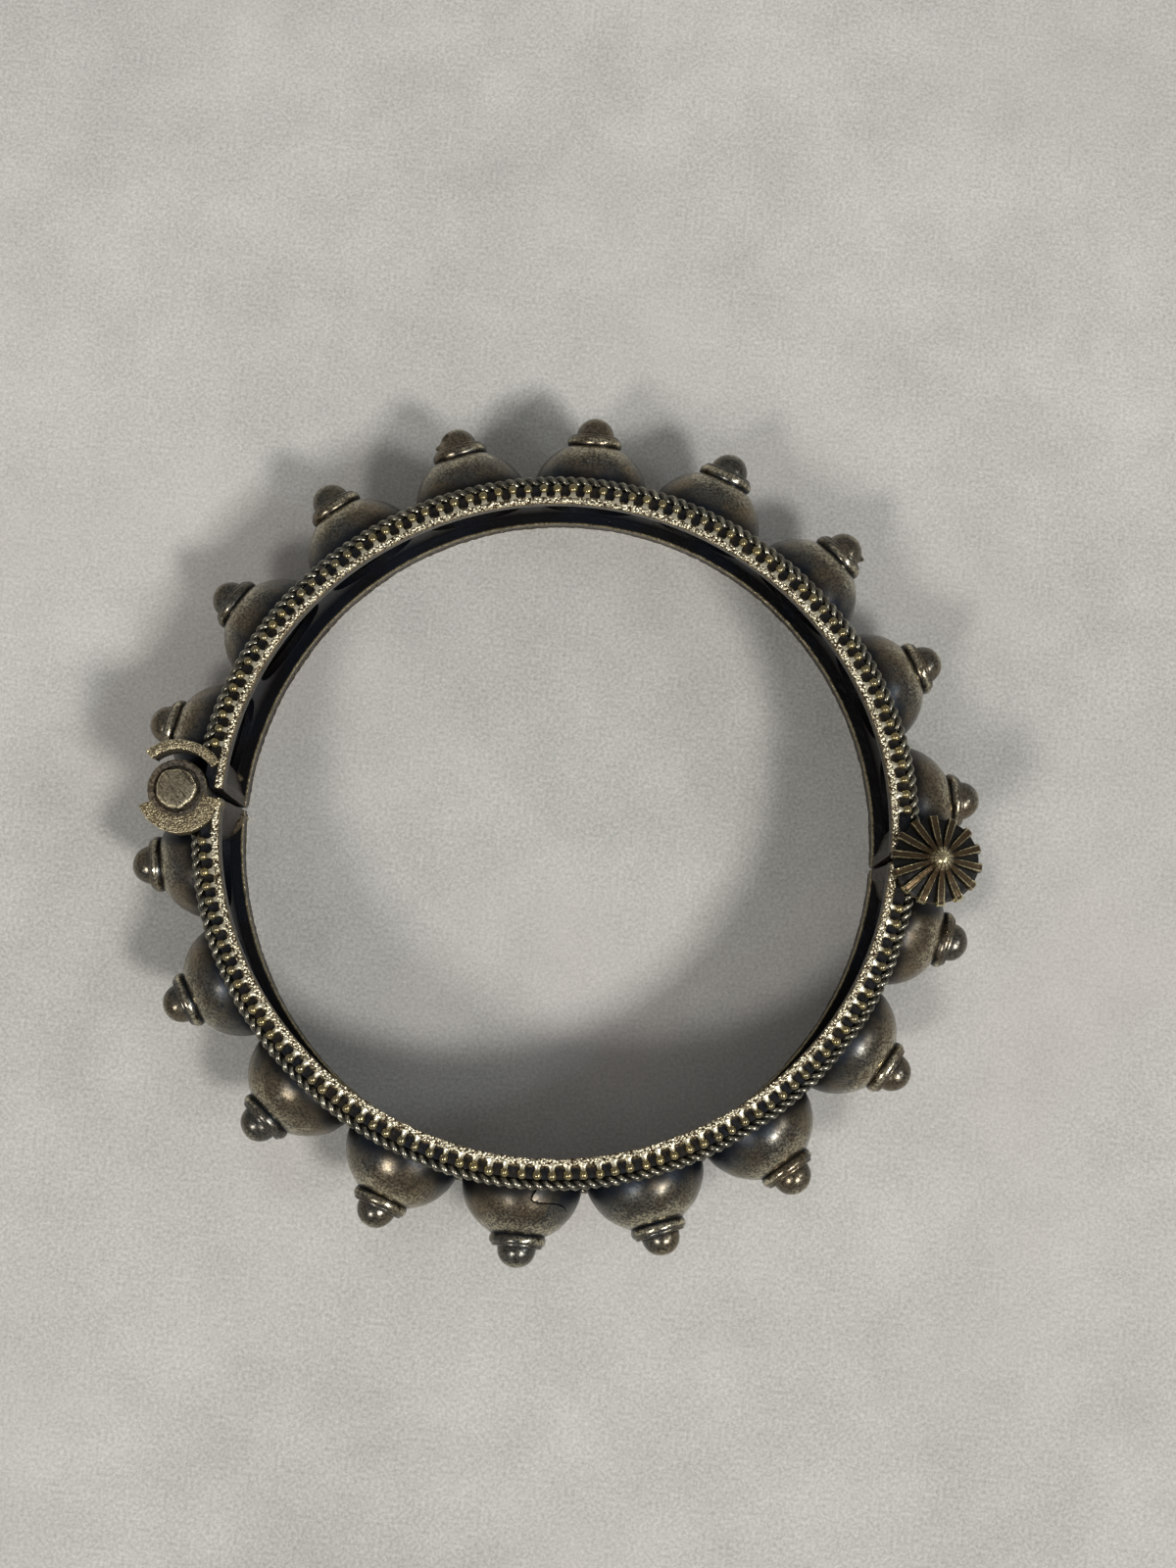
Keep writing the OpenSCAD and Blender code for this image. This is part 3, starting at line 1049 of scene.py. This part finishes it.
def spike_form(half, number):
    cracked = (half, number) == cracked_spike
    shape = lathe(spike_profile(), steps=180 if cracked else 72)
    if cracked:
        shape = combined(shape, crack(), "DIFFERENCE")
    for centre, reach, push in knocks.get((half, number), []):
        knock(shape, centre, reach, push)
    bend = turned(random.uniform(-0.8, 0.8), "X") @ turned(random.uniform(-0.8, 0.8), "Y")
    bmesh.ops.transform(shape, matrix=spike_place(half, number) @ bend, verts=shape.verts)
    if number in (1, spikes_per_half):
        shape = beside_joint(shape, half, number)
    weather(shape, 0.10, 4.5, seed=number)
    weather(shape, 0.03, 1.2, seed=number + 20)
    return shape


for half in ("upper", "lower"):
    for number in spike_numbers:
        wear, shade = spike_rules(half, number)
        spike = soldered(spike_form(half, number), f"{half}_spike_{number}", half, dome_silver,
                         rubbed=wear, hidden=shade, sharp=35)
print("18 spikes,", len(spike.data.polygons), "faces in the last one")

# %% [markdown]
# The hinge has three knuckles on one pin. The outer two belong to the lower half, each with a
# broad crescent of rough cast metal that ties it to the rim, and the middle one belongs to the
# upper half, which also carries a curved guard on the far side of the gap. Knuckles and lugs
# are turned tubes, and the crescents and guards are parts of rings with bevelled edges.

# %% Tubes and parts of rings
def tube(across, bore, radius, low, high, seat=None):
    """A knuckle with rounded edges; seat gives the radius and depth of a recess in its top"""
    edge = 0.14
    top = [(radius, high - edge), (radius - edge, high)]
    floor = high
    if seat:
        seat_r, seat_depth = seat
        floor = high - seat_depth
        top += [(seat_r + 0.08, high - 0.02), (seat_r, high - 0.12), (seat_r, floor)]
    points = [(bore, low), (radius - edge, low), (radius, low + edge)] + top + [(bore, floor)]
    shape = lathe(points, steps=64, closed=True)
    bmesh.ops.translate(shape, vec=(across, 0, 0), verts=shape.verts)
    return shape


def ring_part(inside, outside, low, high, start, end, steps, edge=0.13):
    """Part of a ring about the hinge pin, between two directions in degrees"""
    shape = sweep([(inside, low), (outside, low), (outside, high), (inside, high)], steps, start, end)
    outer_ends = [item for item in sharp_edges(shape, 60)
                  if abs(item.verts[0].co.z - item.verts[1].co.z) > high - low - 0.01
                  and item.verts[0].co.to_2d().length > (inside + outside) / 2]
    bevelled(shape, outer_ends, offset=0.4, segments=5)
    bevelled(shape, sharp_edges(shape, 60), offset=edge, segments=3)
    bmesh.ops.translate(shape, vec=(hinge_x, 0, 0), verts=shape.verts)
    return shape


def rubbed_faces(share, less=0.0):
    """Rubbed a little on the faces that show from above and below, and more on their rounded edges"""
    def rule(spot, normal):
        outer = 1 - ramp(from_face(spot), 0.25, 0.6)
        edge = ramp(abs(normal.z), 0.15, 0.45) * (1 - ramp(abs(normal.z), 0.80, 0.95))
        return share * (outer * max(0.35, 0.95 * edge)) - less
    return rule


# Tarnish and painted shade deep in the hinge, darker away from the top and resting faces
def gap_shade(spot, normal):
    return 0.7 * ramp(from_face(spot), 0.4, 2.2)


# %% Knuckles, crescents and guards
plate_step = 0.06
pin_seat_r = 2.0
pin_seat_depth = {"resting": 0.8, "top": 0.4}


def crescent(low, high):
    """A broad part ring that grows wider towards its clasp side"""
    shape = ring_part(knuckle_r - 0.25, crescent_r, low, high, 209, 351, 60)
    for vert in shape.verts:
        off_pin = Vector((vert.co.x - hinge_x, vert.co.y, 0))
        turn = math.degrees(math.atan2(off_pin.y, off_pin.x)) % 360
        wider = 0.45 * ramp(turn, 215, 315)
        vert.co += off_pin.normalized() * wider * ramp(off_pin.length, knuckle_r, crescent_r)
    weather(shape, 0.05, 0.6, seed=low + 5)
    weather(shape, 0.08, 1.8, seed=low + 8)
    return shape


def guard(low, high):
    shape = ring_part(guard_in, guard_in + guard_t, low + plate_step, high - plate_step, 38, 136, 48,
                      edge=0.2)
    weather(shape, 0.04, 0.6, seed=low + 11)
    weather(shape, 0.08, 1.8, seed=low + 2)
    return shape


for level, low in (("resting", 0.0), ("top", outer_top)):
    high = low + outer_knuckle_h
    seat = (pin_seat_r, pin_seat_depth[level])
    knuckle = tube(hinge_x, pin_bore_r, knuckle_r, outer_top, band_h - 0.05, seat)
    if level == "resting":
        to_resting(knuckle)
    weather(knuckle, 0.05, 1.3, seed=low)
    soldered(knuckle, f"lower_hinge_knuckle_{level}", "lower", ring_silver,
             rubbed=rubbed_faces(1.1, less=0.2), hidden=gap_shade)
    soldered(crescent(low, high), f"lower_crescent_{level}", "lower", hinge_silver,
             rubbed=rubbed_faces(1.3), hidden=gap_shade, sharp=50)
    soldered(guard(low, high), f"upper_guard_{level}", "upper", hinge_silver,
             rubbed=rubbed_faces(1.3), hidden=gap_shade, sharp=50)

# The middle knuckle sits deep between the outer ones and is painted almost black, with tarnish and painted
# shade
middle_knuckle = tube(hinge_x, pin_bore_r, knuckle_r, outer_knuckle_h + clear, outer_top - clear)
soldered(middle_knuckle, "upper_hinge_knuckle", "upper", dome_silver, hidden=lambda spot, normal: 0.95)

# %% [markdown]
# The clasp mirrors that idea: two lugs of the upper half hold one lug of the lower half
# between them, and the screw runs down through all three.

# %% The clasp's lugs
# The lugs are darkened with tarnish and painted shade, most on their steep sides
for name, half, low, high in (("upper_clasp_lug_top", "upper", lug_high + clear, band_h),
                              ("upper_clasp_lug_resting", "upper", 0.0, lug_low - clear),
                              ("lower_clasp_lug", "lower", lug_low, lug_high)):
    lug = tube(screw_x, screw_bore_r, knuckle_r, low, high)
    weather(lug, 0.05, 1.5, seed=low)
    soldered(lug, name, half, dome_silver, rubbed=rubbed_faces(0.5),
             hidden=lambda spot, normal: 0.4 + 0.5 * (1 - ramp(abs(normal.z), 0.3, 0.7)))

# %% [markdown]
# The pin was riveted over at the top, which left a flat head with a hammered edge that is not
# quite round and a face full of fine scratches. It is turned on the lathe and then pushed out
# of round by a few waves and noise.

# %% The riveted pin
def from_axis(spot):
    return math.hypot(spot.x, spot.y)


def widened(vert, scale):
    """Moves a point straight out from the lathe's axis, or in towards it"""
    vert.co.x *= scale
    vert.co.y *= scale


def rivet():
    pin_r = 0.9
    head_r = 1.8
    edge_r = 0.32
    high = band_h + 0.5
    seat = band_h - 0.35
    foot = 0.12
    foot_top = 0.75
    shank = [(0, foot), (head_r - 0.15, foot), (head_r, foot + 0.15), (head_r, foot_top), (pin_r, foot_top),
             (pin_r, seat), (head_r - 0.02, seat), (head_r, seat + 0.3), (head_r, seat + 0.42)]
    face = [(1.3, high - 0.02), (1.1, high - 0.01), (0.85, high), (0.6, high), (0.3, high), (0, high)]
    waves = [(3, 0.6, 0.04), (5, 2.0, 0.035), (9, 0.0, 0.02)]
    rounded = arc((head_r - edge_r, high - 0.36), edge_r, 8, 84, steps=6)
    shape = lathe(shank + rounded + face, steps=72)
    for vert in shape.verts:
        if vert.co.z > seat - 0.01:
            turn = math.atan2(vert.co.y, vert.co.x)
            ripple = sum(size * math.sin(count * turn + shift) for count, shift, size in waves)
            widened(vert, 1 + (ripple - 0.03) / head_r)
    bmesh.ops.translate(shape, vec=(hinge_x, 0, 0), verts=shape.verts)
    weather(shape, 0.05, 1.1, seed=31)
    return shape


def rivet_wear(spot, normal):
    edge = ramp(normal.z, 0.2, 0.5) * (1 - ramp(normal.z, 0.85, 0.96))
    return max(0.3, 0.9 * edge)


# The pin is darkened below its head's face, with tarnish and painted shade
pin = finished(rivet(), "riveted_pin", "upper", "hinge_pin", "worn_silver", pin_silver, rubbed=rivet_wear,
               hidden=lambda spot, normal: 0.8 * (1 - ramp(spot.z, band_h - 0.1, band_h + 0.25)))
print(pin.name, len(pin.data.polygons), "faces")

# %% [markdown]
# The screw's head is a little parasol: fourteen ribs run from a round knob out and down to a
# scalloped edge, brown gold on the ribs and black between. A lathe gives the plain parasol,
# finely divided, and a formula then lowers and pulls in every point that lies between two
# ribs. The shaft gets a thread in the same way, because it shows when the screw is drawn.

# %% The fluted head
head_ribs = 14
head_r = 3.97
head_low = band_h + 0.05
head_turn = math.radians(4)


def rib_shape(turn, radius):
    """How high a rib stands, 1 on its back and 0 in the groove, and how near its crisp borders are"""
    share = 0.74 - 0.28 * ramp(radius, 1.3, 3.5)
    off_rib = 1 - abs((turn / math.tau * head_ribs) % 1 - 0.5) * 2
    level = 1 - ramp(off_rib, share - 0.07, share + 0.12)
    border = (1 - ramp(abs(off_rib - (share - 0.12)), 0.04, 0.14)) * ramp(radius, 1.2, 1.8)
    return level, border


def fluted_head():
    under = [(0, 0), (1.2, 0), (2.4, 0), (3.3, 0), (head_r - 0.12, 0.02), (head_r, 0.14), (head_r, 0.45)]
    slope_r = head_r - 0.25
    slope_low = 0.90
    hub_r = 1.10
    steps = 16
    slope = [(head_r - 0.03, 0.60), (head_r - 0.12, 0.76), (slope_r, slope_low)]
    for share in [step / steps for step in range(1, steps + 1)]:
        slope.append((slope_r - (slope_r - hub_r) * share, slope_low + 1.66 * share ** 1.15))
    hub = [(1.02, 2.64), (0.94, 2.76), (0.88, 2.88)] + arc((0, 2.72), 0.86, 16, 90, 9)
    hub[-1] = (0, hub[-1][1])
    shape = lathe(under + slope + hub, steps=head_ribs * 30)
    for vert in shape.verts:
        radius = from_axis(vert.co)
        if radius >= 0.9:
            level, border = rib_shape(math.atan2(vert.co.y, vert.co.x) + head_turn, radius)
            drop = ((1 - level) * 0.62 - border * 0.07) * ramp(radius, 0.9, 1.7)
            vert.co.z -= drop * min(1.0, vert.co.z / slope_low)
            widened(vert, 1 - (1 - level) * 0.26 * ramp(radius, 2.9, head_r) / head_r)
    return shape


# %% The threaded shaft
screw_r = 1.1
thread_pitch = 0.7
thread_depth = 0.16
row_h = 0.1


def threaded_shaft():
    low = screw_box[0][2] / MM
    high = head_low + 0.3
    rows = int((high - low) / row_h)
    side = [(screw_r, low + (high - low) * row / rows) for row in range(rows + 1)]
    shape = lathe([(0, low)] + side + [(0, high)], steps=28)
    for vert in shape.verts:
        if from_axis(vert.co) >= screw_r / 2:
            turn = math.atan2(vert.co.y, vert.co.x)
            wave = 0.5 + 0.5 * math.cos(math.tau * vert.co.z / thread_pitch - turn)
            point = 1 - ramp(vert.co.z, low, low + 0.8)
            widened(vert, 1 - (thread_depth * (1 - wave) + 0.25 * point) / screw_r)
    return shape


head = fluted_head()
bmesh.ops.translate(head, vec=(0, 0, head_low), verts=head.verts)
screw_shape = together(head, threaded_shaft())
bmesh.ops.translate(screw_shape, vec=(screw_x, 0, 0), verts=screw_shape.verts)
weather(screw_shape, 0.03, 0.8, seed=12)

# %% [markdown]
# The screw is what the fingers turn, so its hub and the crisp borders of its ribs are rubbed
# bright, and the hub is painted brighter still as a highlight. The thin edge of its head gets a
# painted highlight on the side that faces the windows. The grooves between the ribs hold the
# black, tarnish and painted shade.

# %% Wear, painted highlights and painted shade on the screw
def on_screw(spot):
    """How far out a place lies on the screw's head, and its rib's height and border there"""
    across = math.hypot(spot.x - screw_x, spot.y)
    return across, *rib_shape(math.atan2(spot.y, spot.x - screw_x) + head_turn, across)


def painted_south_highlight(spot, normal):
    """A painted highlight: 1 on the part of the head's thin edge that faces the windows"""
    across, level, border = on_screw(spot)
    return ramp(across, 3.5, 3.66) * (1 - ramp(abs(normal.z), 0.5, 0.8)) * ramp(-spot.y, 1.0, 2.8)


# Rubbed borders on the ribs; the hub and the streaks round it are rubbed and painted brighter as a
# highlight, and the south edge is a painted highlight
def screw_rubbing_and_highlight(spot, normal):
    if spot.z < head_low + 0.1:
        return 0.1
    across, level, border = on_screw(spot)
    return max(0.75 * level * (1 - ramp(across, 0.7, 1.5)), 0.75 * border, 0.9 * painted_south_highlight(spot, normal))


# Tarnish and painted shade in the grooves, and painted shade on the steep outer edge, left off where the
# south edge has its painted highlight
def screw_shade(spot, normal):
    across, level, border = on_screw(spot)
    edge = 0.5 * (1 - ramp(abs(normal.z), 0.25, 0.6))
    dark = max((1 - level) * ramp(across, 0.95, 1.4), edge * ramp(across, 3.2, 3.6))
    return dark * ramp(spot.z, head_low - 0.06, head_low - 0.02) * (1 - 0.85 * painted_south_highlight(spot, normal))


screw = finished(screw_shape, "fluted_screw", "screw", "clasp_screw", "brown_silver", screw_silver,
                 rubbed=screw_rubbing_and_highlight, hidden=screw_shade, sharp=50)
print(screw.name, len(screw.data.polygons), "faces")

# %% [markdown]
# The table is a pale plastered board: nearly even, with faint stains the size of a palm, a
# fine tooth and a few hairlines. It is part of the stage, not of the bangle.

# %% The table
def table_finish():
    material, place = start_material("pale_table")
    stain = cloud(place, 60.0, detail=5.0, rough=0.6)
    patch = cloud(place, 9.0, detail=5.0, rough=0.65)
    fine = cloud(place, 0.32, rough=0.7)
    tint = cloud(place, 35.0)
    fibre = cloud(place, 1.2, stretch=(1, 6, 1), turn=(0, 0, 35))
    level = (0.5 + (stain - 0.5) * 0.7 + (patch - 0.5) * 0.6 + (fine - 0.5) * 1.5
             + fibre.step(0.68, 0.8) * 0.15)
    colour = level.clamped().mix(paint(155, 155, 150), paint(213, 212, 207))
    colour = (tint.step(0.45, 0.75) * 0.4).mix(colour, paint(188, 180, 178))
    surface(fine * 0.6 + patch * 1.5, 0.06, {"Base Color": colour, "Roughness": 0.85,
                                             "Specular IOR Level": 0.05})
    return material


table_shape = bmesh.new()
bmesh.ops.create_grid(table_shape, x_segments=2, y_segments=2, size=1.5)
table = in_scene("table", as_mesh(table_shape, "table"))
table.data.materials.append(table_finish())
print("table top at z = 0")
